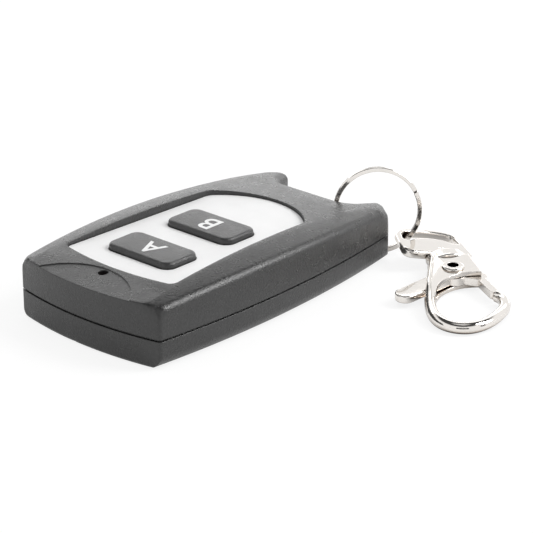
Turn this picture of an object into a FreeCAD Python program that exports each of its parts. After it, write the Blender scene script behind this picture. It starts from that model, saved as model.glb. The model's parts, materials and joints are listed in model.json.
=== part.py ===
import FreeCAD, Part
import math
import os
from FreeCAD import Vector

# A two-button remote control with its key ring and swivel snap hook, in millimetres.
# The case lies on its back with the nose towards -Y. The origin is the centre of its bottom face.

# Case
nose_y = -32.0
tail_y = 34.9
nose_half_width = 18.1
waist_half_width = 19.6
tail_half_width = 16.2
nose_bulge = 2.1
tail_bulge = 3.0
seam_z = 5.8
seam_gap_height = 0.4
seam_gap_depth = 0.45
roof_nose_z = 12.5
roof_peak_z = 14.2
roof_tail_z = 11.4
edge_nose_z = 11.9
edge_peak_z = 13.1
edge_tail_z = 11.0
side_slope = 12.0
side_round = 1.8
nose_round = 0.6
nose_corner_round = 1.0
bottom_side_round = 3.2
bottom_nose_round = 1.2
round_overlap = 0.05
horn_outer_round = 2.8
horn_inner_round = 2.0
tail_top_round = 1.6
tail_bottom_round = 2.4
wall = 1.6
floor_thickness = 1.5
ceiling_z = 10.7

# Notch for the key ring at the tail
notch_depth = 5.2
notch_half_width = 9.0
notch_mouth_half_width = 11.6
notch_corner_round = 3.5
notch_top_round = 2.2
pin_y = 32.6
pin_z = 7.0
pin_radius = 0.9
pin_half_length = 13.2
pin_fit = 0.03
scoop_radius = 4.4
scoop_half_width = 8.2
horn_relief_radius = 3.0
horn_relief_x = 11.7
horn_relief_y = 35.3
horn_relief_top = 3.5

# Face plate and its recess
plate_top_z = 12.7
plate_thickness = 0.8
plate_gap = 0.12
plate_nose_y = -24.3
plate_nose_bulge = 1.5
plate_nose_half_width = 14.0
plate_mid_y = -5.0
plate_mid_half_width = 13.3
plate_tail_y = 13.0
plate_tail_half_width = 12.6
plate_tail_bulge = 6.0
plate_corner_round = 1.5
plate_tail_corner_round = 2.5

# Buttons
button_width = 16.4
button_length = 8.6
button_corner = 2.0
button_rise = 1.2
button_edge_round = 0.6
button_gap = 0.2
button_y = {"a": -15.5, "b": 0.3}
flange_margin = 0.9
flange_thickness = 0.7
flange_gap = 0.1
nub_radius = 1.6
nub_gap = 0.05

# Pocket and indicator at the nose
pocket_radius = 14.3
pocket_tip_y = -26.9
pocket_depth = 0.15
lens_y = -28.2
lens_radius = 0.95
lens_gap = 0.05
lens_sink = 1.0

# Circuit board and what stands on it
board_z = 5.6
board_thickness = 1.0
board_gap = 0.3
board_tail_y = 20.5
switch_side = 6.0
switch_height = 1.7
plunger_radius = 1.3
plunger_fit = 0.1
plunger_rise = 1.3
plunger_depth = 0.7
chip_height = 1.4

# Coin cell
cell_radius = 10.0
cell_height = 3.2
cell_bevel = 0.25
cell_y = 2.0
cell_floor_gap = 0.4
cradle_gap = 0.4
cradle_wall = 0.9
contact_thickness = 0.3

# Case screws
screw_x = 11.4
screw_y = 23.4
screw_radius = 0.9
screw_head_radius = 1.7
screw_head_height = 1.2
screw_length = 7.4
boss_radius = 2.3
screw_fit = 0.05

# Split ring
ring_mean_radius = 8.4
ring_wire_width = 0.9
ring_wire_height = 0.5
ring_coil_gap = 0.08
ring_edge_bevel = 0.12
ring_turns = 1.9
ring_centre = Vector(11.86, 36.04, 9.3)
ring_turn = 42.0
ring_lean = 4.0
ring_end_angle = 63.0

# Snap hook: its own frame has x along the swivel axis towards the hook, y to the gate side, z up
clasp_origin = Vector(28.77, 37.24, 2.45)
clasp_heading = -43.2
clasp_dip = 2.4
body_top = 1.75
body_bottom = -1.65
slot_top = 0.9
slot_bottom = -0.9
slot_back = 2.3
slot_front = 16.2
rod_width = 2.2
rod_end_height = 2.3
rod_taper_start = 0.3
rod_taper_end = 0.6
rod_sections = 20
rod_step = 0.12
lever_edge_round = 0.3
collar_half_width = 4.0
collar_half_height = 2.25
collar_back = -1.6
collar_front = 1.2
collar_round = 0.35
stud_radius = 1.0
stud_head_radius = 1.6
stud_fit = 0.08
stud_head_back = -0.6
stud_head_thickness = 1.0
rivet_x = 6.0
rivet_shank_radius = 1.5
rivet_hole_radius = 1.15
rivet_flange_radius = 2.2
rivet_flange_top = 0.5
rivet_flange_bottom = 0.3
rivet_fit = 0.06

# Trigger: gate and thumb lever in one piece
trigger_gap = 0.12
hub_radius = 3.3
lever_end = Vector(14.2, -10.4, 0)
lever_half_width = 1.95
gate_root = Vector(8.2, 4.7, 0)
gate_tip = Vector(14.7, 6.5, 0)
gate_half_width = 0.8
spring_wire = 0.4
spring_opening = 2.2
spring_mean_radius = 2.15
spring_pocket_radius = 2.6
spring_pocket_depth = 0.75

# Swivel eye
eye_turn = 8.0
eye_roll = -11.0
eye_offset = -1.1
eye_half_width = 7.5
eye_front = -2.0
eye_side_end = -13.0
eye_back = -14.0
eye_thickness = 1.8
eye_rim = 1.2
eye_taper = 0.9
eye_front_corner = 2.0
eye_back_corner = 3.8
eye_edge_round = 0.7
hole_front = -5.2
hole_front_middle = -9.4
hole_side_end = -11.7
hole_back = -12.5
hole_front_corner = 0.9
hole_back_corner = 1.9
hole_edge_round = 0.4
neck_front = -1.9
neck_sections = ((4.2, 2.2, -1.9), (5.2, 2.1, -4.6), (5.6, 0.8, -8.0))
scallop_depth = 3.0
scallop_half_width = 3.5
scallop_web = 1.3
stud_seat = 3.0

UP = Vector(0, 0, 1)
TALL = 40.0


def v(x, y, z=0.0):
    return Vector(x, y, z)


def line(a, b):
    return Part.LineSegment(a, b).toShape()


def arc(a, middle, b):
    return Part.Arc(a, middle, b).toShape()


def prism(wire_or_face, bottom, top):
    face = wire_or_face if wire_or_face.ShapeType == "Face" else Part.Face(wire_or_face)
    face = face.copy()
    face.translate(v(0, 0, bottom))
    return face.extrude(v(0, 0, top - bottom))


def cylinder(radius, bottom, top, x=0.0, y=0.0):
    return Part.makeCylinder(radius, top - bottom, v(x, y, bottom))


def box(x_range, y_range, z_range):
    size = [high - low for low, high in (x_range, y_range, z_range)]
    return Part.makeBox(*size, v(x_range[0], y_range[0], z_range[0]))


def upright_edges(solid, half_width, y, reach=0.7):
    found = []
    for edge in solid.Edges:
        ends = [vertex.Point for vertex in edge.Vertexes]
        if len(ends) != 2 or abs(ends[0].x - ends[1].x) > 0.01 or abs(ends[0].y - ends[1].y) > 0.01:
            continue
        if abs(abs(ends[0].x) - half_width) < reach and abs(ends[0].y - y) < reach:
            found.append(edge)
    return found


def rounded_rectangle(width, length, corner, bottom, top, y):
    block = box((-width / 2, width / 2), (y - length / 2, y + length / 2), (bottom, top))
    edges = [e for e in block.Edges if e.BoundBox.ZLength > (top - bottom) / 2]
    return block.makeFillet(corner, edges)


def nose_arc(z):
    return arc(v(-nose_half_width, nose_y, z), v(0, nose_y - nose_bulge, z), v(nose_half_width, nose_y, z))


def tail_arc(z):
    return arc(v(-tail_half_width, tail_y, z), v(0, tail_y + tail_bulge, z), v(tail_half_width, tail_y, z))


def on_arc(edge, x):
    # The point of an end arc at this distance from the middle line.
    circle = edge.Curve
    out = 1 if edge.CenterOfMass.y > circle.Center.y else -1
    return v(x, circle.Center.y + out * math.sqrt(circle.Radius ** 2 - x ** 2))


def part_of_arc(edge, x, end_x):
    return arc(on_arc(edge, x), on_arc(edge, (x + end_x) / 2), on_arc(edge, end_x))


def case_plan():
    # Bowed nose, sides and tail, with two horns beside a notch in the tail. One half is drawn and mirrored.
    middle_y, floor_y = (nose_y + tail_y) / 2, tail_y - notch_depth
    nose, tail = v(nose_half_width, nose_y), v(tail_half_width, tail_y)
    mouth, floor = on_arc(tail_arc(0), notch_mouth_half_width), v(notch_half_width, floor_y)
    chain = [
        part_of_arc(nose_arc(0), 0, nose_half_width),
        arc(nose, v(waist_half_width, middle_y), tail),
        part_of_arc(tail_arc(0), tail_half_width, notch_mouth_half_width),
        line(mouth, floor),
        line(floor, v(0, floor_y)),
    ]
    corners = ((nose, nose_corner_round), (tail, horn_outer_round), (mouth, horn_inner_round),
               (floor, notch_corner_round))
    for i, (corner, radius) in enumerate(corners):
        tool = Part.ChFi2d.FilletAPI(chain[2 * i], chain[2 * i + 1], Part.Plane(v(0, 0), UP))
        tool.perform(radius)
        blend, before, after = tool.result(corner)
        chain[2 * i:2 * i + 2] = [before, blend, after]
    mirrored = [edge.mirror(v(0, 0), v(1, 0)) for edge in chain]
    return Part.Wire(Part.__sortEdges__(chain + mirrored))


def case_block():
    return prism(case_plan(), 0, roof_peak_z + 2)


def roof_circle(x=0.0, lift=0.0):
    low, peak, end = [v(x, y, z + lift) for y, z in (
        (nose_y, roof_nose_z), ((nose_y + tail_y) / 2, roof_peak_z), (tail_y, roof_tail_z))]
    return arc(low, peak, end).Curve


def roof_cut(lift=0.0):
    # Everything above the arched roof line, which is seen in side view.
    reach = waist_half_width + 5
    circle = roof_circle(-reach, lift)
    disc = Part.makeCylinder(circle.Radius, 2 * reach, v(-reach, circle.Center.y, circle.Center.z), v(1, 0, 0))
    block = box((-reach, reach), (nose_y - 8, tail_y + 8), (roof_nose_z - 5, roof_peak_z + 6))
    return block.cut(disc)


def edge_arc(side):
    # The line where the sloping side of the roof would meet the side wall.
    points = (
        v(side * nose_half_width, nose_y, edge_nose_z),
        v(side * waist_half_width, (nose_y + tail_y) / 2, edge_peak_z),
        v(side * tail_half_width, tail_y, edge_tail_z),
    )
    return arc(*points)


def swept_cut(edge, section, overrun):
    # A section drawn in (outward, up) at the middle of an arc, turned about the arc's own axis.
    centre, axis = edge.Curve.Center, edge.Curve.Axis
    first, last = edge.FirstParameter, edge.LastParameter
    middle = edge.valueAt((first + last) / 2)
    outward = (middle - centre).normalize()
    across = axis.cross(outward)
    up = UP - across * UP.dot(across)
    up.normalize()
    level = outward - up * outward.dot(up)
    level.normalize()
    edges = section(lambda out, height: middle + level * out + up * height)
    face = Part.Face(Part.Wire(edges))
    sweep = math.degrees(last - first) + 2 * overrun
    face.rotate(centre, axis, -sweep / 2)
    return face.revolve(centre, axis, sweep)


def side_section(place):
    # Outside of: side wall, rounding, then the slope up towards the crest of the roof.
    slope = math.radians(side_slope)
    tangent = side_round * math.tan(math.radians(90 - side_slope) / 2)
    proud = round_overlap
    wall_point = place(proud, -tangent)
    slope_point = place(-tangent * math.cos(slope), tangent * math.sin(slope))
    turn = math.radians(45 + side_slope / 2)
    centre = (-side_round, -tangent)
    reach = side_round + proud / 2
    bulge = place(centre[0] + reach * math.cos(turn), centre[1] + reach * math.sin(turn))
    inner = place(-9 * math.cos(slope), 9 * math.sin(slope))
    return [
        arc(wall_point, bulge, slope_point),
        line(slope_point, inner),
        line(inner, place(-9, 8)),
        line(place(-9, 8), place(4, 8)),
        line(place(4, 8), place(4, -tangent)),
        line(place(4, -tangent), wall_point),
    ]


def corner_section(radius, upward):
    # Outside of a square corner that is rounded by the radius; upward is 1 for a top corner.
    def section(place):
        half = radius * (1 - math.sqrt(0.5))
        proud = round_overlap
        start, end = place(proud, -upward * radius), place(-radius, upward * proud)
        middle = place(-half + proud, -upward * (half - proud))
        above, outer = place(-radius, upward * 3), place(3, upward * 3)
        low = place(3, -upward * radius)
        return [arc(start, middle, end), line(end, above), line(above, outer), line(outer, low), line(low, start)]
    return section


def notch_top_cut(side):
    # Rounds the roof into the notch, along its floor and one flank, in a plane that leans with the roof.
    circle = roof_circle()
    floor_y = tail_y - notch_depth
    lean = math.asin((floor_y - circle.Center.y) / circle.Radius)
    top = circle.Center.z + circle.Radius * math.cos(lean)
    corner = v(side * notch_half_width, floor_y, top)
    flank = (on_arc(tail_arc(0), side * notch_mouth_half_width) - v(side * notch_half_width, floor_y)).normalize()
    tangent = notch_corner_round * math.tan(math.acos(flank.dot(v(side, 0))) / 2)
    start, end = corner - v(side * tangent, 0), corner + flank * tangent
    centre = start + v(0, notch_corner_round)
    middle = centre + (corner - centre).normalize() * notch_corner_round
    path = Part.Wire([line(v(0, floor_y, top), start), arc(start, middle, end), line(end, end + flank * 12)])
    profile = corner_section(notch_top_round, 1)(lambda out, height: v(0, floor_y + out, top + height))
    cut = path.makePipeShell([Part.Wire(profile)], True, False)
    cut.rotate(v(0, floor_y, top), v(1, 0, 0), -math.degrees(lean))
    return cut


def case_body():
    body = case_block().cut(roof_cut())
    for side in (-1, 1):
        body = body.cut(swept_cut(edge_arc(side), side_section, 3))
        bottom = arc(
            v(side * nose_half_width, nose_y, 0),
            v(side * waist_half_width, (nose_y + tail_y) / 2, 0),
            v(side * tail_half_width, tail_y, 0),
        )
        body = body.cut(swept_cut(bottom, corner_section(bottom_side_round, -1), 3))
    body = body.cut(swept_cut(nose_arc(roof_nose_z), corner_section(nose_round, 1), 3))
    body = body.cut(swept_cut(nose_arc(0), corner_section(bottom_nose_round, -1), 3))
    for side in (-1, 1):
        body = body.cut(notch_top_cut(side))
    body = body.cut(swept_cut(tail_arc(roof_tail_z), corner_section(tail_top_round, 1), 3))
    return body.cut(swept_cut(tail_arc(0), corner_section(tail_bottom_round, -1), 3))


def inset_plan(distance):
    return Part.Face(case_plan().makeOffset2D(-distance))


def plate_plan(gap):
    nose, tail = plate_nose_y - gap, plate_tail_y
    front, middle, back = [w + gap for w in (plate_nose_half_width, plate_mid_half_width, plate_tail_half_width)]
    edges = [
        arc(v(-front, nose), v(0, nose - plate_nose_bulge), v(front, nose)),
        arc(v(front, nose), v(middle, plate_mid_y), v(back, tail)),
        arc(v(back, tail), v(0, tail + plate_tail_bulge + gap), v(-back, tail)),
        arc(v(-back, tail), v(-middle, plate_mid_y), v(-front, nose)),
    ]
    return Part.Wire(edges)


def plate_block(gap, bottom, top):
    block = prism(plate_plan(gap), bottom, top)
    nose_edges = upright_edges(block, plate_nose_half_width + gap, plate_nose_y - gap)
    block = block.makeFillet(plate_corner_round + gap, nose_edges)
    tail_edges = upright_edges(block, plate_tail_half_width + gap, plate_tail_y)
    return block.makeFillet(plate_tail_corner_round + gap, tail_edges)


def button_hole(y, gap, bottom, top):
    return rounded_rectangle(button_width + 2 * gap, button_length + 2 * gap, button_corner + gap, bottom, top, y)


def seam_groove():
    band = Part.Face(case_plan().makeOffset2D(seam_gap_depth)).cut(inset_plan(seam_gap_depth))
    return prism(band.Faces[0], seam_z - seam_gap_height / 2, seam_z + seam_gap_height / 2)


def notch_room():
    # Scooped out round the pin, so that the ring has room to swing behind it.
    reach = scoop_half_width
    scoop = Part.makeCylinder(scoop_radius, 2 * reach, v(-reach, pin_y, pin_z), v(1, 0, 0))
    pin = Part.makeCylinder(pin_radius + pin_fit, 2 * pin_half_length, v(-pin_half_length, pin_y, pin_z), v(1, 0, 0))
    return scoop, pin


def cavity():
    plan = inset_plan(wall)
    block = prism(plan, floor_thickness, ceiling_z)
    tail_wall_y = pin_y - scoop_radius - wall
    return block.common(box((-TALL, TALL), (-TALL, tail_wall_y), (0, TALL)))


def screw_places():
    return [(-screw_x, screw_y), (screw_x, screw_y)]


def shells():
    body = case_body()
    scoop, pin = notch_room()
    body = body.cut(scoop).cut(pin).cut(seam_groove())
    # The feet of the horns are cut back where the ring hangs past them.
    for side in (-1, 1):
        body = body.cut(cylinder(horn_relief_radius, -1, horn_relief_top, side * horn_relief_x, horn_relief_y))
    below = box((-TALL, TALL), (-TALL - 10, TALL + 10), (-1, seam_z))
    room = cavity()
    upper = body.cut(below).cut(room)
    lower = body.common(below).cut(room)
    bosses = [cylinder(boss_radius, floor_thickness - 0.2, ceiling_z + 0.2, x, y) for x, y in screw_places()]
    for (x, y), boss in zip(screw_places(), bosses):
        upper = upper.fuse(boss.cut(below)).cut(cylinder(screw_radius - 0.05 + screw_fit, seam_z, screw_length + 0.6, x, y))
        lower = lower.fuse(boss.common(below))
        lower = lower.cut(cylinder(screw_radius + screw_fit * 3, -1, TALL, x, y))
        lower = lower.cut(cylinder(screw_head_radius + 0.15, -1, screw_head_height + 0.2, x, y))
    return upper, lower


def pocket_tool():
    disc = cylinder(pocket_radius, 0, TALL, 0, pocket_tip_y - pocket_radius)
    layer = roof_cut(-pocket_depth)
    return disc.common(layer)


def make_upper_shell(upper):
    shell = upper.cut(plate_block(plate_gap, plate_top_z - plate_thickness, TALL))
    for y in button_y.values():
        shell = shell.cut(button_hole(y, button_gap + 0.1, ceiling_z - 1, TALL))
    shell = shell.cut(pocket_tool())
    shell = shell.cut(cylinder(lens_radius + lens_gap, ceiling_z - 1, TALL, 0, lens_y))
    # Ribs that hold the board down on its edge.
    for side in (-1, 1):
        for y in (-22.0, 12.0):
            x = side * (nose_half_width - wall - 1.0)
            rib = box((x - 0.6, x + 0.6), (y - 0.5, y + 0.5), (board_z + board_thickness + 0.05, ceiling_z + 0.1))
            shell = shell.fuse(rib)
    return shell.removeSplitter()


def make_lower_shell(lower):
    shell = lower
    ring = cylinder(cell_radius + cradle_gap + cradle_wall, floor_thickness - 0.1, seam_z - 1.2, 0, cell_y)
    ring = ring.cut(cylinder(cell_radius + cradle_gap, 0, TALL, 0, cell_y))
    ring = ring.cut(box((cell_radius - 3, cell_radius + 4), (cell_y - 3.2, cell_y + 3.2), (0, TALL)))
    shell = shell.fuse(ring)
    for side in (-1, 1):
        for y in (-24.0, 17.0):
            shell = shell.fuse(cylinder(1.5, floor_thickness - 0.1, board_z, side * 11.0, y))
    return shell.removeSplitter()


def make_face_plate():
    plate = plate_block(0, plate_top_z - plate_thickness, plate_top_z)
    for y in button_y.values():
        plate = plate.cut(button_hole(y, button_gap, 0, TALL))
    return plate


def make_button(y):
    top = plate_top_z + button_rise
    cap = rounded_rectangle(button_width, button_length, button_corner, ceiling_z - 0.3, top, y)
    rim = [e for e in cap.Edges if e.BoundBox.ZMin > top - 0.01]
    cap = cap.makeFillet(button_edge_round, rim)
    flange_top = ceiling_z - flange_gap
    flange = rounded_rectangle(
        button_width + 2 * flange_margin, button_length + 2 * flange_margin,
        button_corner, flange_top - flange_thickness, flange_top, y)
    nub_bottom = board_z + board_thickness + switch_height + plunger_rise + nub_gap
    nub = cylinder(nub_radius, nub_bottom, flange_top, 0, y)
    return cap.fuse([flange, nub]).removeSplitter()


def make_board():
    plan = prism(inset_plan(wall + board_gap), board_z, board_z + board_thickness)
    return plan.common(box((-TALL, TALL), (-TALL, board_tail_y), (0, TALL)))


def make_switch(y):
    base = board_z + board_thickness
    half = switch_side / 2
    body = box((-half, half), (y - half, y + half), (base, base + switch_height))
    body = body.makeChamfer(0.4, [e for e in body.Edges if e.BoundBox.ZLength > 1])
    hole = cylinder(plunger_radius + plunger_fit, base + switch_height - plunger_depth - 0.5, TALL, 0, y)
    legs = []
    for x in (-half - 0.5, half - 0.01):
        for leg_y in (y - 2.2, y + 1.6):
            legs.append(box((x, x + 0.51), (leg_y, leg_y + 0.6), (base, base + 0.6)))
    return body.cut(hole).fuse(legs).removeSplitter()


def make_plunger(y):
    base = board_z + board_thickness + switch_height
    return cylinder(plunger_radius, base - plunger_depth, base + plunger_rise, 0, y)


def make_chip(x, y, width, length, height, pins):
    base = board_z + board_thickness
    body = box((x - width / 2, x + width / 2), (y - length / 2, y + length / 2), (base, base + height))
    body = body.makeChamfer(0.2, [e for e in body.Edges if e.BoundBox.ZMin > base + height - 0.01])
    legs = []
    pitch = length / pins
    for i in range(pins):
        leg_y = y - length / 2 + pitch * (i + 0.5)
        for side in (-1, 1):
            near, far = x + side * (width / 2 - 0.05), x + side * (width / 2 + 0.7)
            legs.append(box((min(near, far), max(near, far)), (leg_y - 0.2, leg_y + 0.2), (base, base + 0.4)))
    return body.fuse(legs).removeSplitter()


def make_resonator():
    base = board_z + board_thickness
    can = cylinder(2.6, base + 0.3, base + 1.9, -8.5, 9.0)
    rim = cylinder(3.0, base, base + 0.35, -8.5, 9.0)
    return can.fuse(rim).removeSplitter()


def make_chip_parts():
    base = board_z + board_thickness
    places = [(7.0, 6.0), (10.0, 6.0), (7.0, 9.5), (10.0, 9.5), (8.5, 13.0), (-5.0, -24.0), (5.5, -23.5)]
    return Part.makeCompound([box((x - 1.0, x + 1.0), (y - 0.6, y + 0.6), (base, base + 0.7)) for x, y in places])


def make_antenna():
    # A wire loop that stands on the board along its tail end.
    base = board_z + board_thickness
    outer = box((-10.5, 10.5), (15.2, 19.4), (base, base + 0.8))
    inner = box((-9.7, 9.7), (16.0, 18.6), (0, TALL))
    gap = box((-0.8, 0.8), (14.0, 17.0), (0, TALL))
    return outer.cut(inner).cut(gap)


def make_led():
    base = board_z + board_thickness
    return box((-1.0, 1.0), (lens_y - 0.7, lens_y + 0.7), (base, base + 0.8))


def make_light_pipe():
    base = board_z + board_thickness + 0.8 + 0.15
    crown = cylinder(lens_radius, base, roof_peak_z, 0, lens_y).cut(roof_cut(-lens_sink - pocket_depth))
    foot = cylinder(lens_radius + 0.7, base, ceiling_z - 0.05, 0, lens_y)
    return crown.fuse(foot).removeSplitter()


def make_cell():
    bottom = floor_thickness + cell_floor_gap
    body = cylinder(cell_radius, bottom, bottom + cell_height, 0, cell_y)
    rim = [e for e in body.Edges if abs(e.Length - 2 * math.pi * cell_radius) < 0.1]
    return body.makeChamfer(cell_bevel, rim)


def make_negative_contact():
    bottom = floor_thickness + cell_floor_gap + cell_height
    foot = box((-2.0, 2.0), (cell_y - 6.0, cell_y - 3.0), (board_z - contact_thickness, board_z))
    blade = box((-2.0, 2.0), (cell_y - 3.5, cell_y + 4.0), (bottom, board_z))
    return foot.fuse(blade).removeSplitter()


def make_positive_contact():
    low = floor_thickness + cell_floor_gap - contact_thickness
    x = cell_radius + 0.1
    wall_strip = box((x, x + contact_thickness), (cell_y - 2.5, cell_y + 2.5), (low, board_z))
    finger = box((x - 5.0, x + 0.05), (cell_y - 1.5, cell_y + 1.5), (low, low + contact_thickness - 0.02))
    return wall_strip.fuse(finger).removeSplitter()


def make_screws():
    screws = []
    for x, y in screw_places():
        head = cylinder(screw_head_radius, 0.3, screw_head_height, x, y)
        recess = box((x - 1.1, x + 1.1), (y - 0.25, y + 0.25), (0, 0.8))
        recess = recess.fuse(box((x - 0.25, x + 0.25), (y - 1.1, y + 1.1), (0, 0.8)))
        shank = cylinder(screw_radius - 0.05, screw_head_height - 0.1, screw_length, x, y)
        screws.append(head.cut(recess).fuse(shank).removeSplitter())
    return Part.makeCompound(screws)


def make_ring_pin():
    length = pin_half_length - 0.1
    return Part.makeCylinder(pin_radius, 2 * length, v(-length, pin_y, pin_z), v(1, 0, 0))


def make_split_ring():
    # Two turns of flat wire that lie on each other, with both ends left square.
    pitch = ring_wire_height + ring_coil_gap
    height = pitch * ring_turns
    path = Part.makeHelix(pitch, height, ring_mean_radius)
    half = ring_wire_width / 2
    low, high = -ring_wire_height / 2, ring_wire_height / 2
    section = box((ring_mean_radius - half, ring_mean_radius + half), (-0.5, 0.0), (low, high))
    long_edges = [e for e in section.Edges if e.BoundBox.YLength > 0.4]
    section = section.makeChamfer(ring_edge_bevel, long_edges)
    face = [f for f in section.Faces if abs(f.CenterOfMass.y) < 1e-6][0]
    sweep = Part.Wire(path).makePipeShell([face.OuterWire], True, True)
    sweep.translate(v(0, 0, -height / 2))
    sweep.rotate(v(0, 0, 0), UP, ring_end_angle)
    # Stand the ring up: its axis turns to the camera side of the tail, leaning back.
    sweep.rotate(v(0, 0, 0), v(1, 0, 0), 90 - ring_lean)
    sweep.rotate(v(0, 0, 0), UP, ring_turn)
    sweep.translate(ring_centre)
    return sweep


def to_clasp(shape, turn=0.0, roll=0.0):
    # From the snap hook's own frame to where it lies on the table.
    placed = shape.copy()
    placed.rotate(v(0, 0, 0), v(1, 0, 0), roll)
    placed.rotate(v(0, 0, 0), UP, turn)
    placed.rotate(v(0, 0, 0), v(0, 1, 0), clasp_dip)
    placed.rotate(v(0, 0, 0), UP, clasp_heading)
    placed.translate(clasp_origin)
    return placed


def rod_path():
    # Along the left side of the plates, then round to where the gate closes.
    points = [v(0.2, -2.75), v(7.0, -4.2), v(13.6, -5.45), v(20.0, -6.35), v(24.2, -6.0), v(27.4, -4.1),
              v(28.5, -1.2), v(27.4, 2.2), v(24.4, 5.3), v(21.2, 7.3), v(18.4, 7.9), v(15.7, 6.9)]
    curve = Part.BSplineCurve()
    curve.interpolate(points)
    return curve


def rod_section(curve, share):
    # An upright ellipse across the rod: as high as the plates beside it, then thinner towards the gate.
    first, last = curve.FirstParameter, curve.LastParameter
    parameter = first + (last - first) * share
    place, direction = curve.value(parameter), curve.tangent(parameter)[0]
    plate_height, plate_middle = body_top - body_bottom - 2 * rod_step, (body_top + body_bottom) / 2
    thinner = min(max((share - rod_taper_start) / (rod_taper_end - rod_taper_start), 0), 1)
    height = plate_height + (rod_end_height - plate_height) * thinner
    section = Part.Wire([Part.Ellipse(v(0, 0), height / 2, rod_width / 2).toShape()])
    section.rotate(v(0, 0), v(0, 1, 0), 90)
    section.rotate(v(0, 0), UP, math.degrees(math.atan2(direction.y, direction.x)))
    section.translate(v(place.x, place.y, plate_middle * (1 - thinner)))
    return section


def make_rod():
    curve = rod_path()
    return Part.makeLoft([rod_section(curve, i / rod_sections) for i in range(rod_sections + 1)], True, False)


def make_hook_body():
    plan = Part.Wire([
        line(v(0.2, -2.8), v(0.2, 3.9)),
        line(v(0.2, 3.9), v(8.4, 5.2)),
        arc(v(8.4, 5.2), v(9.6, -0.6), v(15.6, -4.7)),
        line(v(15.6, -4.7), v(19.4, -6.2)),
        line(v(19.4, -6.2), v(13.6, -5.45)),
        line(v(13.6, -5.45), v(0.2, -2.8)),
    ])
    plates = prism(plan, body_bottom, body_top)
    collar = elliptic_cylinder(collar_half_width, collar_half_height, collar_back, collar_front)
    collar = collar.makeFillet(collar_round, collar.Edges[:1] + collar.Edges[2:])
    collar.rotate(v(0, 0, 0), UP, eye_turn)
    slot = box((slot_back, slot_front), (-9, 9), (slot_bottom, slot_top))
    body = plates.fuse([make_rod(), collar]).cut(slot)
    bore = along_x(stud_radius + stud_fit, collar_back - 1, slot_back + 0.1)
    head_end = stud_head_back + stud_head_thickness
    head_room = along_x(stud_head_radius + stud_fit, stud_head_back - stud_fit, head_end + stud_fit)
    for tool in (bore, head_room):
        tool.rotate(v(0, 0, 0), UP, eye_turn)
    rivet_hole = cylinder(rivet_shank_radius, -5, 5, rivet_x, 0)
    return body.cut(bore).cut(head_room).cut(rivet_hole)


def along_x(radius, start, end):
    return Part.makeCylinder(radius, end - start, v(start, 0, 0), v(1, 0, 0))


def ellipse_across_x(half_width, half_height, x):
    wire = Part.Wire([Part.Ellipse(v(0, 0), half_width, half_height).toShape()])
    wire.rotate(v(0, 0, 0), v(1, 0, 0), 90)
    wire.rotate(v(0, 0, 0), UP, 90)
    wire.translate(v(x, 0, 0))
    return wire


def elliptic_cylinder(half_width, half_height, start, end):
    face = Part.Face(ellipse_across_x(half_width, half_height, start))
    return face.extrude(v(end - start, 0, 0))


def make_trigger_rivet():
    top, bottom = body_top, body_bottom
    shank = cylinder(rivet_shank_radius, bottom - 0.1, top + 0.1, rivet_x, 0)
    upper = cylinder(rivet_flange_radius, top, top + rivet_flange_top, rivet_x, 0)
    rim = [e for e in upper.Edges if e.BoundBox.ZMin > top + 0.01]
    upper = upper.makeFillet(rivet_flange_top * 0.8, rim)
    lower = cylinder(rivet_flange_radius, bottom - rivet_flange_bottom, bottom, rivet_x, 0)
    hole = cylinder(rivet_hole_radius, -5, 5, rivet_x, 0)
    return shank.fuse([upper, lower]).cut(hole).removeSplitter()


def bar_between(a, b, half_width, bottom, top):
    # A flat bar with rounded ends between two points.
    along = b - a
    across = v(-along.y, along.x).normalize() * half_width
    out = Vector(along).normalize() * half_width
    wire = Part.Wire([
        line(a + across, b + across),
        arc(b + across, b + out, b - across),
        line(b - across, a - across),
        arc(a - across, a - out, a + across),
    ])
    return prism(wire, bottom, top)


def make_trigger():
    bottom, top = slot_bottom + trigger_gap, slot_top - trigger_gap
    pivot = v(rivet_x, 0)
    hub = cylinder(hub_radius, bottom, top, rivet_x, 0)
    lever = bar_between(pivot, lever_end, lever_half_width, bottom, top)
    lever = lever.makeFillet(lever_edge_round, [e for e in lever.Edges if e.BoundBox.ZLength < 0.01])
    arm = bar_between(pivot, gate_root, hub_radius * 0.5, bottom, top)
    gate = bar_between(gate_root, gate_tip, gate_half_width, bottom, top)
    trigger = hub.fuse([lever, arm, gate]).removeSplitter()
    trigger = trigger.cut(cylinder(rivet_shank_radius + rivet_fit, -5, 5, rivet_x, 0))
    return trigger.cut(cylinder(spring_pocket_radius, top - spring_pocket_depth, 5, rivet_x, 0))


def make_trigger_spring():
    # A flat open ring round the rivet, in the recess of the trigger.
    middle = slot_top - trigger_gap - spring_pocket_depth / 2
    bottom, top = middle - spring_wire / 2, middle + spring_wire / 2
    ring = cylinder(spring_mean_radius + spring_wire / 2, bottom, top, rivet_x)
    ring = ring.cut(cylinder(spring_mean_radius - spring_wire / 2, bottom, top, rivet_x))
    opening = box((rivet_x - hub_radius, rivet_x), (-spring_opening / 2, spring_opening / 2), (bottom, top))
    return ring.cut(opening)


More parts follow.
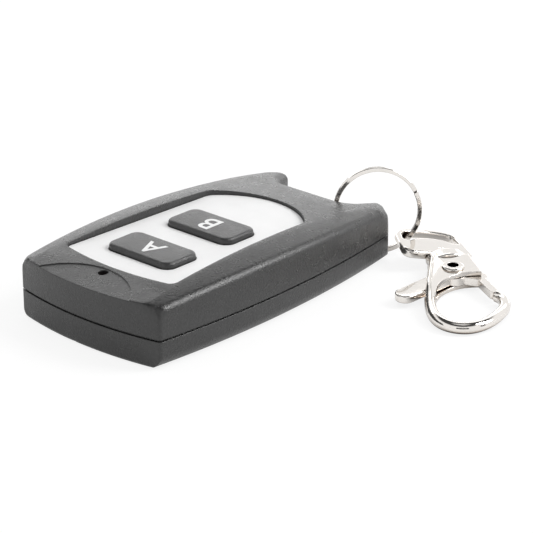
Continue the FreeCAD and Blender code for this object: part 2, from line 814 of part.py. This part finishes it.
def eye_plate(front, middle, side_end, back, inset, corners, half_height):
    # A plate with tapered sides and a bowed back; its front edge runs through the middle point.
    side, back_side = eye_half_width - inset, eye_half_width - eye_taper - inset
    front_edge = line(v(front, side), v(front, -side))
    if middle != front:
        front_edge = arc(v(front, side), v(middle, 0), v(front, -side))
    wire = Part.Wire([
        front_edge,
        line(v(front, -side), v(side_end, -back_side)),
        arc(v(side_end, -back_side), v(back, 0), v(side_end, back_side)),
        line(v(side_end, back_side), v(front, side)),
    ])
    block = prism(wire, -half_height, half_height)
    for x, radius in zip((front, side_end), corners):
        upright = [e for e in block.Edges if e.BoundBox.ZLength > half_height and e.BoundBox.XLength < 0.01]
        block = block.makeFillet(radius, [e for e in upright if abs(e.CenterOfMass.x - x) < 0.1])
    block.translate(v(0, eye_offset, 0))
    return block


def make_swivel_eye():
    half = eye_thickness / 2
    outer_corners, hole_corners = (eye_front_corner, eye_back_corner), (hole_front_corner, hole_back_corner)
    loop = eye_plate(eye_front, eye_front, eye_side_end, eye_back, 0, outer_corners, half)
    loop = loop.makeFillet(eye_edge_round, [e for e in loop.Edges if e.BoundBox.ZLength < 0.01])
    hole = eye_plate(hole_front, hole_front_middle, hole_side_end, hole_back, eye_rim, hole_corners, half + 2)
    loop = loop.cut(hole)
    mouth = [e for e in loop.Edges if e.BoundBox.ZLength < 0.01 and abs(abs(e.CenterOfMass.z) - half) < 0.01]
    inner = [e for e in mouth if hole.isInside(e.valueAt(e.FirstParameter), 0.01, True)]
    loop = loop.makeFillet(hole_edge_round, inner)
    neck = Part.makeLoft([ellipse_across_x(*section) for section in neck_sections], True).cut(hole)
    eye = loop.fuse(neck)
    # Scalloped above and below a web, so that the collar of the hook sits in the neck.
    for bottom, top in ((scallop_web, 5.0), (-5.0, -scallop_web)):
        ellipse = Part.Ellipse(v(0, 0), scallop_half_width, scallop_depth).toShape()
        scallop = prism(Part.Wire([ellipse]), bottom, top)
        scallop.rotate(v(0, 0, 0), UP, 90)
        scallop.translate(v(neck_front, 0, 0))
        eye = eye.cut(scallop)
    return eye.cut(along_x(stud_radius, neck_front - stud_seat, 0)).removeSplitter()


def make_swivel_stud():
    shank = along_x(stud_radius, neck_front - stud_seat, stud_head_back + 0.2)
    head = along_x(stud_head_radius, stud_head_back, stud_head_back + stud_head_thickness)
    return shank.fuse(head).removeSplitter()


def main():
    os.makedirs("parts", exist_ok=True)
    upper, lower = shells()
    nodes = {
        "upper_shell": make_upper_shell(upper),
        "lower_shell": make_lower_shell(lower),
        "face_plate": make_face_plate(),
        "circuit_board": make_board(),
        "controller_chip": make_chip(9.0, -8.0, 4.0, 5.0, chip_height, 4),
        "radio_chip": make_chip(-9.0, -8.0, 3.2, 3.2, chip_height, 3),
        "resonator_can": make_resonator(),
        "chip_parts": make_chip_parts(),
        "antenna_loop": make_antenna(),
        "status_led": make_led(),
        "light_pipe": make_light_pipe(),
        "coin_cell": make_cell(),
        "cell_contact_negative": make_negative_contact(),
        "cell_contact_positive": make_positive_contact(),
        "case_screws": make_screws(),
        "ring_pin": make_ring_pin(),
        "split_ring": make_split_ring(),
        "swivel_eye": to_clasp(make_swivel_eye(), eye_turn, eye_roll),
        "swivel_stud": to_clasp(make_swivel_stud(), eye_turn, eye_roll),
        "hook_body": to_clasp(make_hook_body()),
        "trigger_lever": to_clasp(make_trigger()),
        "trigger_rivet": to_clasp(make_trigger_rivet()),
        "trigger_spring": to_clasp(make_trigger_spring()),
    }
    for name, y in button_y.items():
        nodes["button_" + name] = make_button(y)
        nodes["tact_switch_" + name] = make_switch(y)
        nodes["tact_plunger_" + name] = make_plunger(y)
    for name, shape in nodes.items():
        print(name, shape.isValid(), len(shape.Solids), round(shape.Volume, 2))
        shape.exportStep("parts/" + name + ".step")


main()
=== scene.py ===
import bmesh
import bpy
import json
import math
import numpy as np
from mathutils import Matrix, Vector


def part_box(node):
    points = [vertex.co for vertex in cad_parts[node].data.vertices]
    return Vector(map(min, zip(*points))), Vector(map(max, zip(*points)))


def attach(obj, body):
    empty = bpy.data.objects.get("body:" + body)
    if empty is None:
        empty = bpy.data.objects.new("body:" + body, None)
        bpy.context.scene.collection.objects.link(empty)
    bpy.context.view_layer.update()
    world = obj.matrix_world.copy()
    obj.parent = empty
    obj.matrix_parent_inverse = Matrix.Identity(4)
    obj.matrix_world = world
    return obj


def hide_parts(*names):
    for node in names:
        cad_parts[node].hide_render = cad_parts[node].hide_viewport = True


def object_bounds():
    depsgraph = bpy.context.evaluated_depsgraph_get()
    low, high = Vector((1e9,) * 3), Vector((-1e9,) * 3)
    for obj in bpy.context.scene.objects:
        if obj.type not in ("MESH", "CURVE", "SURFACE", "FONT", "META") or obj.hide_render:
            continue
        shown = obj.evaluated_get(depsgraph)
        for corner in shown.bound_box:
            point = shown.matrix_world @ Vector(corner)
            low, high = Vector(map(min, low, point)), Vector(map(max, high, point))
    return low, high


# Looks, stage and camera for the two-button remote control, in metres.
# The nose of the case points towards -Y, the keys face +Z, and the table lies just below z = 0.

MM = 0.001
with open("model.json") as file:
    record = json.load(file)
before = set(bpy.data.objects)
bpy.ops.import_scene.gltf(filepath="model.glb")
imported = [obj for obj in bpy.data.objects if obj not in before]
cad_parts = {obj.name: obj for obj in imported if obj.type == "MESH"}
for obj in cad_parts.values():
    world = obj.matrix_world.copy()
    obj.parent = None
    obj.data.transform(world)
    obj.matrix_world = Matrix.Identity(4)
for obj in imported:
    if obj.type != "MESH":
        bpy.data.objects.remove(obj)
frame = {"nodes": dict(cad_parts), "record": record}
nodes = frame["nodes"]
cad_low, cad_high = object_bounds()


# Colours

def grey(level):
    return (level, level, level)


def shade(value):
    # An sRGB grey or triple from 0 to 255, as linear light.
    triple = value if isinstance(value, tuple) else grey(value)
    return tuple(((c / 255 + 0.055) / 1.055) ** 2.4 if c > 10 else c / 255 / 12.92 for c in triple)


def dimmed(tint, share):
    return tuple(channel * share for channel in tint)


# Procedural surfaces, with every size and depth in millimetres

NOISE_LOW = 0.3
NOISE_HIGH = 0.7    # nearly all values of a noise lie between these two


class Surface:
    # A principled material whose colour, roughness and relief all come from nodes.
    def __init__(self, name, rough, metallic=0.0):
        self.material = bpy.data.materials.new(name)
        self.material.use_nodes = True
        self.tree = self.material.node_tree
        self.shader = self.tree.nodes["Principled BSDF"]
        self.shader.inputs["Metallic"].default_value = metallic
        self.shader.inputs["Roughness"].default_value = rough
        self.place = self.node("ShaderNodeTexCoord").outputs["Object"]
        self.normal = None

    def node(self, kind, **settings):
        made = self.tree.nodes.new(kind)
        for key, value in settings.items():
            setattr(made, key, value)
        return made

    def join(self, source, target):
        self.tree.links.new(source, target)

    def stretched(self, scale, turn=(0.0, 0.0, 0.0)):
        mapping = self.node("ShaderNodeMapping")
        mapping.inputs["Scale"].default_value = scale
        mapping.inputs["Rotation"].default_value = turn
        self.join(self.place, mapping.inputs["Vector"])
        return mapping.outputs["Vector"]

    def noise(self, size, detail=2.0, rough=0.5, place=None, distortion=0.0):
        made = self.node("ShaderNodeTexNoise")
        made.inputs["Scale"].default_value = 1 / (size * MM)
        made.inputs["Detail"].default_value = detail
        made.inputs["Roughness"].default_value = rough
        made.inputs["Distortion"].default_value = distortion
        self.join(place or self.place, made.inputs["Vector"])
        return made.outputs["Fac"]

    def openness(self, reach):
        # 1 in the open, and less in crevices that are narrower than the reach.
        made = self.node("ShaderNodeAmbientOcclusion", samples=8)
        made.inputs["Distance"].default_value = reach * MM
        return made.outputs["AO"]

    def remap(self, value, to_low, to_high, low=NOISE_LOW, high=NOISE_HIGH):
        made = self.node("ShaderNodeMapRange")
        made.inputs["From Min"].default_value = low
        made.inputs["From Max"].default_value = high
        made.inputs["To Min"].default_value = to_low
        made.inputs["To Max"].default_value = to_high
        self.join(value, made.inputs["Value"])
        return made.outputs["Result"]

    def ramp(self, value, stops):
        made = self.node("ShaderNodeValToRGB")
        elements = made.color_ramp.elements
        while len(elements) < len(stops):
            elements.new(0.5)
        for element, (at, colour) in zip(elements, stops):
            element.position = at
            element.color = (*colour, 1)
        self.join(value, made.inputs["Fac"])
        return made.outputs["Color"]

    def multiply(self, first, second):
        made = self.node("ShaderNodeMix", data_type="RGBA", blend_type="MULTIPLY")
        made.inputs["Factor"].default_value = 1.0
        self.join(first, made.inputs["A"])
        self.join(second, made.inputs["B"])
        return made.outputs["Result"]

    def colour(self, output):
        self.join(output, self.shader.inputs["Base Color"])

    def roughness(self, output):
        self.join(output, self.shader.inputs["Roughness"])

    def bump(self, height, depth, strength):
        made = self.node("ShaderNodeBump")
        made.inputs["Distance"].default_value = depth * MM
        made.inputs["Strength"].default_value = strength
        self.join(height, made.inputs["Height"])
        if self.normal is not None:
            self.join(self.normal, made.inputs["Normal"])
        self.normal = made.outputs["Normal"]
        self.join(self.normal, self.shader.inputs["Normal"])

    def soften(self, radius):
        made = self.node("ShaderNodeBevel", samples=4)
        made.inputs["Radius"].default_value = radius * MM
        self.normal = made.outputs["Normal"]
        self.join(self.normal, self.shader.inputs["Normal"])


tone_patch = 6.0
gloss_patch = 2.2
coarse_grain = 5            # times the grain
coarse_depth = 0.4          # times the grain's depth
# Painted shade: the moulding's colour darkens in crevices narrower than this reach, by these stops.
painted_shade_reach = 1.2
fleck_stops = ((0.35, grey(0.62)), (0.65, grey(1.3)))
painted_shade_stops = ((0.35, grey(0.1)), (0.85, grey(1)))


def moulded(name, dark, light, rough, grain, depth, soft, specular=0.5):
    # Spark-eroded moulding grain, flecked and slightly uneven in gloss, with painted shade darkening
    # its crevices.
    surface = Surface(name, rough)
    surface.soften(soft)
    patches = surface.noise(tone_patch, detail=3.0, rough=0.6)
    grains = surface.noise(grain, detail=3.0, rough=0.65)
    tone = surface.ramp(patches, ((NOISE_LOW, shade(dark)), (NOISE_HIGH, shade(light))))
    fleck = surface.ramp(grains, fleck_stops)
    # Painted shade: the colour is darkened where the surface lies in a crevice.
    painted_crevice_shade = surface.ramp(surface.openness(painted_shade_reach), painted_shade_stops)
    surface.colour(surface.multiply(surface.multiply(tone, fleck), painted_crevice_shade))
    gloss = surface.noise(gloss_patch, detail=4.0, rough=0.6)
    surface.roughness(surface.remap(gloss, rough - 0.03, rough + 0.04))
    surface.bump(grains, depth, strength=0.8)
    surface.bump(surface.noise(grain * coarse_grain), depth * coarse_depth, strength=0.35)
    surface.shader.inputs["Specular IOR Level"].default_value = specular
    return surface.material


# Painted shade: the plating's colour turns dark brown in hollows within this reach, by these stops.
plated_shade_reach = 2.6
plated_shade_stops = (
    (0.3, (0.035, 0.022, 0.015)),
    (0.48, (0.5, 0.44, 0.39)),
    (0.62, (0.96, 0.94, 0.92)),
    (0.8, grey(1)),
)
polish_line = 0.12
polish_depth = 0.002
polish_along = (1.0, 0.08, 1.0)
polish_turn = (0.2, 0.1, 0.75)
plating_patch = 4.0
smoothest = 0.02


def plated(name, tint, rough, wave, depth, soft):
    # Bright plating over a casting: slow waves, fine polishing lines, and painted brown shade in the
    # crevices.
    surface = Surface(name, rough, metallic=1.0)
    surface.soften(soft)
    waves = surface.noise(wave, distortion=0.4)
    lines = surface.noise(polish_line, place=surface.stretched(polish_along, polish_turn))
    patches = surface.noise(plating_patch, detail=3.0, rough=0.6)
    tone = surface.ramp(patches, ((NOISE_LOW, dimmed(tint, 0.95)), (NOISE_HIGH, tint)))
    # Painted shade: the colour is darkened to brown where the surface lies in a hollow.
    painted_plated_shade = surface.ramp(surface.openness(plated_shade_reach), plated_shade_stops)
    surface.colour(surface.multiply(tone, painted_plated_shade))
    surface.roughness(surface.remap(lines, max(rough - 0.03, smoothest), rough + 0.05))
    surface.bump(waves, depth, strength=0.5)
    surface.bump(lines, polish_depth, strength=0.25)
    return surface.material


brush_line = 0.1
brush_depth = 0.004


def brushed(name, tint, rough, along=(1.0, 0.05, 1.0)):
    surface = Surface(name, rough, metallic=1.0)
    lines = surface.noise(brush_line, detail=3.0, rough=0.6, place=surface.stretched(along))
    surface.colour(surface.ramp(lines, ((0.25, dimmed(tint, 0.8)), (0.75, tint))))
    surface.roughness(surface.remap(lines, rough - 0.08, rough + 0.1))
    surface.bump(lines, brush_depth, strength=0.4)
    return surface.material


sheet_patch = 7.0
sheet_soft = 0.08
sheet_fleck_stops = ((0.3, grey(0.97)), (0.6, grey(1)))


def plain_sheet(name, dark, light, rough, grain, depth):
    # An even satin finish with the faintest fleck.
    surface = Surface(name, rough)
    surface.soften(sheet_soft)
    grains = surface.noise(grain, detail=4.0, rough=0.7)
    patches = surface.noise(sheet_patch, detail=3.0, rough=0.5)
    tone = surface.ramp(patches, ((NOISE_LOW, shade(dark)), (NOISE_HIGH, shade(light))))
    surface.colour(surface.multiply(tone, surface.ramp(grains, sheet_fleck_stops)))
    surface.roughness(surface.remap(grains, rough - 0.06, rough + 0.08))
    surface.bump(grains, depth, strength=0.4)
    return surface.material


weave_bands = 900.0         # per metre
weave_depth = 0.01
track_size = 1.4
track_along = (1.0, 0.25, 1.0)
mask_green = (12, 70, 34)
track_green = (30, 104, 52)


def laminate(name):
    # Green solder mask over tracks and a glass weave.
    surface = Surface(name, 0.35)
    weave = surface.node("ShaderNodeTexWave", wave_type="BANDS", bands_direction="X")
    weave.inputs["Scale"].default_value = weave_bands
    weave.inputs["Distortion"].default_value = 1.5
    surface.join(surface.place, weave.inputs["Vector"])
    tracks = surface.noise(track_size, detail=1.0, rough=0.4, place=surface.stretched(track_along))
    surface.colour(surface.ramp(tracks, ((0.5, shade(mask_green)), (0.54, shade(track_green)))))
    surface.roughness(surface.remap(weave.outputs["Fac"], 0.28, 0.42, low=0, high=1))
    surface.bump(weave.outputs["Fac"], weave_depth, strength=0.4)
    return surface.material


lens_dark = (44, 8, 8)
lens_light = (82, 14, 12)
lens_depth = 0.004


def lens_surface(name):
    # Clear dark red plastic.
    surface = Surface(name, 0.12)
    tone = ((NOISE_LOW, shade(lens_dark)), (NOISE_HIGH, shade(lens_light)))
    surface.colour(surface.ramp(surface.noise(0.5), tone))
    surface.roughness(surface.remap(surface.noise(0.3), 0.08, 0.2))
    surface.bump(surface.noise(0.4), lens_depth, strength=0.3)
    surface.shader.inputs["Coat Weight"].default_value = 0.6
    return surface.material


chrome = (0.86, 0.825, 0.785)
materials = {
    "case_plastic": moulded("case_plastic", dark=32, light=38, rough=0.28, grain=0.4, depth=0.12,
                            soft=0.3, specular=0.75),
    "plate_satin": plain_sheet("plate_satin", dark=238, light=243, rough=0.5, grain=0.15, depth=0.004),
    "button_rubber": moulded("button_rubber", dark=42, light=48, rough=0.3, grain=0.3, depth=0.11,
                             soft=0.4, specular=0.75),
    "lens_plastic": lens_surface("lens_plastic"),
    "board_laminate": laminate("board_laminate"),
    "chip_plastic": moulded("chip_plastic", dark=24, light=34, rough=0.5, grain=0.12, depth=0.006,
                            soft=0.05),
    "tin": brushed("tin", tint=(0.72, 0.72, 0.7), rough=0.35),
    "copper_wire": brushed("copper_wire", tint=(0.8, 0.45, 0.27), rough=0.3),
    "cell_steel": brushed("cell_steel", tint=(0.75, 0.75, 0.74), rough=0.3),
    "screw_steel": brushed("screw_steel", tint=(0.55, 0.55, 0.56), rough=0.35),
    "pin_steel": brushed("pin_steel", tint=(0.66, 0.65, 0.64), rough=0.3, along=(0.05, 1.0, 1.0)),
    "ring_chrome": plated("ring_chrome", chrome, rough=0.08, wave=4.0, depth=0.01, soft=0.06),
    "clasp_chrome": plated("clasp_chrome", chrome, rough=0.06, wave=3.0, depth=0.03, soft=0.2),
    "plunger_plastic": moulded("plunger_plastic", dark=40, light=50, rough=0.5, grain=0.12,
                               depth=0.006, soft=0.05),
}
ink = plain_sheet("key_ink", dark=236, light=244, rough=0.5, grain=0.08, depth=0.006)


# Pieces of the part

weld_distance = 0.001 * MM
sharp_edge = math.radians(32)


def dress(piece, slot):
    piece.data.materials.clear()
    piece.data.materials.append(materials[slot])
    for polygon in piece.data.polygons:
        polygon.use_smooth = True
    weld = piece.modifiers.new("weld", "WELD")
    weld.merge_threshold = weld_distance
    split = piece.modifiers.new("split", "EDGE_SPLIT")
    split.split_angle = sharp_edge


def add_piece(name, mesh):
    piece = bpy.data.objects.new(name, mesh)
    bpy.context.scene.collection.objects.link(piece)
    return piece


for entry in frame["record"]["subparts"]:
    dress(nodes[entry["node"]], entry["material_slot"])


# The upper shell with its outer corners eased, as moulded

most_halvings = 12
relaxing = 0.5              # how far a point moves towards its neighbours' middle in one round
seam_fade = 1.5 * MM        # height above its lower limit over which the easing sets in


def refine(form, centre, reach, step):
    # Halves the edges that pass near a point until none there is longer than the step.
    for _ in range(most_halvings):
        long_edges = []
        for edge in form.edges:
            start, end = edge.verts[0].co, edge.verts[1].co
            along = end - start
            if along.length <= step:
                continue
            share = min(max((centre - start).dot(along) / along.length_squared, 0), 1)
            away = start + along * share - centre
            if Vector(c / r for c, r in zip(away, reach)).length < 1:
                long_edges.append(edge)
        if not long_edges:
            return
        bmesh.ops.subdivide_edges(form, edges=long_edges, cuts=1)
        bmesh.ops.triangulate(form, faces=[face for face in form.faces if len(face.verts) > 3])


def easing_weights(places, regions, floor_z):
    # The strength in the middle of each region, fading to 0 at its reach and down to floor_z.
    weight = np.zeros(len(places))
    for centre, reach, strength in regions:
        near = 1 - np.linalg.norm((places - np.array(centre)) / np.array(reach), axis=1)
        near = np.clip(near, 0, 1)
        weight = np.maximum(weight, strength * near * near * (3 - 2 * near))
    return weight * np.clip((places[:, 2] - floor_z) / seam_fade, 0, 1)


def eased_copy(node, name, body, slot, regions, floor_z, step, rounds):
    # A copy of a node whose corners are rounder inside each region, above floor_z.
    form = bmesh.new()
    form.from_mesh(nodes[node].data)
    bmesh.ops.remove_doubles(form, verts=form.verts, dist=weld_distance)
    for centre, reach, strength in regions:
        refine(form, centre, reach, step)
    form.verts.index_update()
    places = np.array([vertex.co for vertex in form.verts])
    ends = np.array([(edge.verts[0].index, edge.verts[1].index) for edge in form.edges])
    weight = easing_weights(places, regions, floor_z)
    neighbours = np.bincount(ends.ravel(), minlength=len(places))
    for _ in range(rounds):
        for axis in range(3):
            value = places[:, axis]
            total = np.bincount(ends[:, 0], value[ends[:, 1]], len(places))
            total += np.bincount(ends[:, 1], value[ends[:, 0]], len(places))
            places[:, axis] += weight * relaxing * (total / neighbours - value)
    for vertex, place in zip(form.verts, places):
        vertex.co = place
    mesh = bpy.data.meshes.new(name)
    form.to_mesh(mesh)
    form.free()
    piece = add_piece(name, mesh)
    dress(piece, slot)
    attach(piece, body)
    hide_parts(node)


corner_inset = 3.5 * MM     # from the shell's widest line
tail_inset = 2.5 * MM
tail_drop = 4 * MM          # below the shell's highest line
tail_reach = (5 * MM, 10 * MM, 7.5 * MM)
tail_strength = 1.0
nose_inset = 2.0 * MM
nose_drop = 5 * MM
nose_reach = (4 * MM, 4.5 * MM, 6 * MM)
nose_strength = 0.6


def case_corners():
    # The ends of the two sloping sides: tightly eased at the nose, more and more towards the tail.
    low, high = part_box("upper_shell")
    regions = []
    for side in (-1, 1):
        end_x = side * (high.x - corner_inset)
        tail = Vector((end_x, high.y - tail_inset, high.z - tail_drop))
        nose = Vector((end_x, low.y + nose_inset, high.z - nose_drop))
        regions += [(tail, tail_reach, tail_strength), (nose, nose_reach, nose_strength)]
    return regions


seam_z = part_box("upper_shell")[0].z
eased_copy("upper_shell", "upper_shell_moulding", "case", "case_plastic", case_corners(),
           floor_z=seam_z + 0.6 * MM, step=0.4 * MM, rounds=160)


# Printed letters on the keys

ink_thickness = 0.03 * MM
ink_lift = 0.005 * MM       # from the top of the key to the middle of the ink
stroke_growth = 0.08 * MM


def key_letter(text, node, body, size):
    curve = bpy.data.curves.new("letter_" + text.lower(), "FONT")
    curve.body = text
    curve.size = size
    curve.align_x = "CENTER"
    curve.align_y = "CENTER"
    curve.extrude = ink_thickness / 2
    curve.offset = stroke_growth
    holder = add_piece("letter_source_" + text.lower(), curve)
    bpy.context.view_layer.update()
    mesh = bpy.data.meshes.new_from_object(holder)
    bpy.data.objects.remove(holder)
    low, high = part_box(node)
    middle = (low + high) / 2
    upside_down = Matrix.Rotation(math.pi, 4, "Z")
    mesh.transform(Matrix.Translation(Vector((middle.x, middle.y, high.z + ink_lift))) @ upside_down)
    mesh.materials.clear()
    mesh.materials.append(ink)
    letter = add_piece("printed_letter_" + text.lower(), mesh)
    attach(letter, body)


key_letter("A", "button_a", "button_a_cap", size=6.5 * MM)
key_letter("B", "button_b", "button_b_cap", size=6.9 * MM)


# Stage: a pale floor, and dark cards that the camera doesn't see and that cast no shadow

floor_size = 12.0
floor_gap = 0.01 * MM
floor_grey = 0.86
card_grey = 0.02
card_distance = 1.6
card_target = (0, 0, 0.01)


def around(azimuth, elevation, distance):
    # A place seen from the origin: azimuth 0 is in front of the nose, 90 on the side of +X.
    turn = math.radians(azimuth)
    lift = math.radians(elevation)
    level = distance * math.cos(lift)
    return (level * math.sin(turn), -level * math.cos(turn), distance * math.sin(lift))


def stage_plane(name, size, place, toward=None):
    bpy.ops.mesh.primitive_plane_add(size=1, location=place)
    plane = bpy.context.object
    plane.name = name
    plane.scale = (*size, 1)
    if toward is not None:
        plane.rotation_euler = (Vector(toward) - Vector(place)).to_track_quat("Z", "Y").to_euler()
    return plane


def floor_surface(glow_for_camera, glow_for_mirrors, level):
    # Pale and plain: partly its own white, so that it stays white round the object's shadow.
    material = bpy.data.materials.new("floor")
    material.use_nodes = True
    tree = material.node_tree
    tree.nodes.clear()
    rays = tree.nodes.new("ShaderNodeLightPath")
    weights = {
        "Is Camera Ray": glow_for_camera,
        "Is Glossy Ray": glow_for_mirrors,
        "Is Transmission Ray": glow_for_mirrors,
    }
    share = None
    for output, weight in weights.items():
        part = tree.nodes.new("ShaderNodeMath")
        part.operation = "MULTIPLY_ADD"
        part.inputs[1].default_value = weight
        part.inputs[2].default_value = 0.0
        tree.links.new(rays.outputs[output], part.inputs[0])
        if share is not None:
            tree.links.new(share, part.inputs[2])
        share = part.outputs[0]
    diffuse = tree.nodes.new("ShaderNodeBsdfDiffuse")
    diffuse.inputs["Color"].default_value = (*grey(floor_grey), 1)
    glow = tree.nodes.new("ShaderNodeEmission")
    glow.inputs["Strength"].default_value = level
    mix = tree.nodes.new("ShaderNodeMixShader")
    tree.links.new(share, mix.inputs["Fac"])
    tree.links.new(diffuse.outputs[0], mix.inputs[1])
    tree.links.new(glow.outputs[0], mix.inputs[2])
    out = tree.nodes.new("ShaderNodeOutputMaterial")
    tree.links.new(mix.outputs[0], out.inputs["Surface"])
    return material


floor = stage_plane("floor", (floor_size, floor_size), (0, 0, cad_low.z - floor_gap))
floor.data.materials.append(floor_surface(glow_for_camera=0.8, glow_for_mirrors=0.3, level=1.06))

card_material = bpy.data.materials.new("dark_card")
card_material.use_nodes = True
card_shader = card_material.node_tree.nodes["Principled BSDF"]
card_shader.inputs["Base Color"].default_value = (*grey(card_grey), 1)
card_shader.inputs["Roughness"].default_value = 0.9


def dark_card(name, azimuth, elevation, width, height):
    place = around(azimuth, elevation, card_distance)
    card = stage_plane(name, (width, height), place, card_target)
    card.data.materials.append(card_material)
    card.visible_camera = False
    card.visible_shadow = False


dark_card("card_front", azimuth=42, elevation=12, width=1.3, height=0.6)
dark_card("card_left", azimuth=-40, elevation=12, width=0.35, height=0.5)
dark_card("card_right", azimuth=110, elevation=14, width=0.4, height=0.5)
dark_card("card_far_left", azimuth=-88, elevation=14, width=0.9, height=0.7)


# Light: soft lamps and a white world with a dark band in its ceiling

lamp_distance = 0.9
strip = (1.4, 0.16)


def soft_lamp(name, azimuth, elevation, size, watts, mirrored=True):
    light = bpy.data.lights.new(name, "AREA")
    light.shape = "RECTANGLE"
    light.size, light.size_y = size
    light.energy = watts
    lamp = add_piece(name, light)
    lamp.visible_glossy = mirrored
    lamp.location = around(azimuth, elevation, lamp_distance)
    lamp.rotation_euler = (-Vector(lamp.location)).to_track_quat("-Z", "Y").to_euler()


soft_lamp("lamp_top", azimuth=20, elevation=80, size=(0.9, 0.9), watts=1.65, mirrored=False)
soft_lamp("lamp_back_low", azimuth=222, elevation=7, size=strip, watts=1.2)
soft_lamp("lamp_back_high", azimuth=222, elevation=37, size=strip, watts=0.75)
soft_lamp("lamp_right", azimuth=130, elevation=42, size=(0.3, 0.5), watts=5.0)


def studio_world(fill, ceiling_stops):
    # White for the camera, dimmer as light. Mirrored rays meet the ceiling, as (elevation, strength).
    world = bpy.data.worlds.new("studio")
    bpy.context.scene.world = world
    world.use_nodes = True
    join = world.node_tree.links.new
    make = world.node_tree.nodes.new
    background = world.node_tree.nodes["Background"]
    background.inputs["Color"].default_value = (*grey(1), 1)
    rays = make("ShaderNodeLightPath")
    height = make("ShaderNodeSeparateXYZ")
    join(make("ShaderNodeTexCoord").outputs["Generated"], height.inputs["Vector"])
    ceiling = make("ShaderNodeValToRGB")
    bands = ceiling.color_ramp.elements
    while len(bands) < len(ceiling_stops):
        bands.new(1.0)
    for band, (elevation, level) in zip(bands, ceiling_stops):
        band.position = math.sin(math.radians(elevation))
        band.color = (*grey(level), 1)
    join(height.outputs["Z"], ceiling.inputs["Fac"])
    mirrored = make("ShaderNodeMix")
    mirrored.inputs["A"].default_value = fill
    join(rays.outputs["Is Glossy Ray"], mirrored.inputs["Factor"])
    join(ceiling.outputs["Color"], mirrored.inputs["B"])
    seen = make("ShaderNodeMath")
    seen.operation = "ADD"
    seen.use_clamp = True
    join(rays.outputs["Is Camera Ray"], seen.inputs[0])
    join(rays.outputs["Is Transmission Ray"], seen.inputs[1])
    strength = make("ShaderNodeMix")
    strength.inputs["B"].default_value = 1.0
    join(seen.outputs[0], strength.inputs["Factor"])
    join(mirrored.outputs["Result"], strength.inputs["A"])
    join(strength.outputs["Result"], background.inputs["Strength"])


studio_world(fill=0.48, ceiling_stops=((40, 1.0), (49, 0.06), (72, 0.06), (82, 0.8)))


# Camera, at the photograph's angle

photo_width = 533           # pixels
focal_length = 2207.3       # pixels
sensor_width = 36.0
yaw = math.radians(42.01)
pitch = math.radians(23.03)
distance = 414.28 * MM
target = Vector((13.68, 1.0, 8.66)) * MM

lens = bpy.data.cameras.new("camera")
lens.sensor_width = sensor_width
lens.lens = sensor_width * focal_length / photo_width
lens.clip_start = 0.01
lens.clip_end = 20.0
camera = add_piece("camera", lens)
back = Vector((math.sin(yaw) * math.cos(pitch), -math.cos(yaw) * math.cos(pitch), math.sin(pitch)))
right = Vector((math.cos(yaw), math.sin(yaw), 0))
up = back.cross(right)
turned = Matrix((right, up, back)).transposed().to_4x4()
camera.matrix_world = Matrix.Translation(target + back * distance) @ turned
bpy.context.scene.camera = camera
bpy.context.scene.view_settings.view_transform = "Standard"
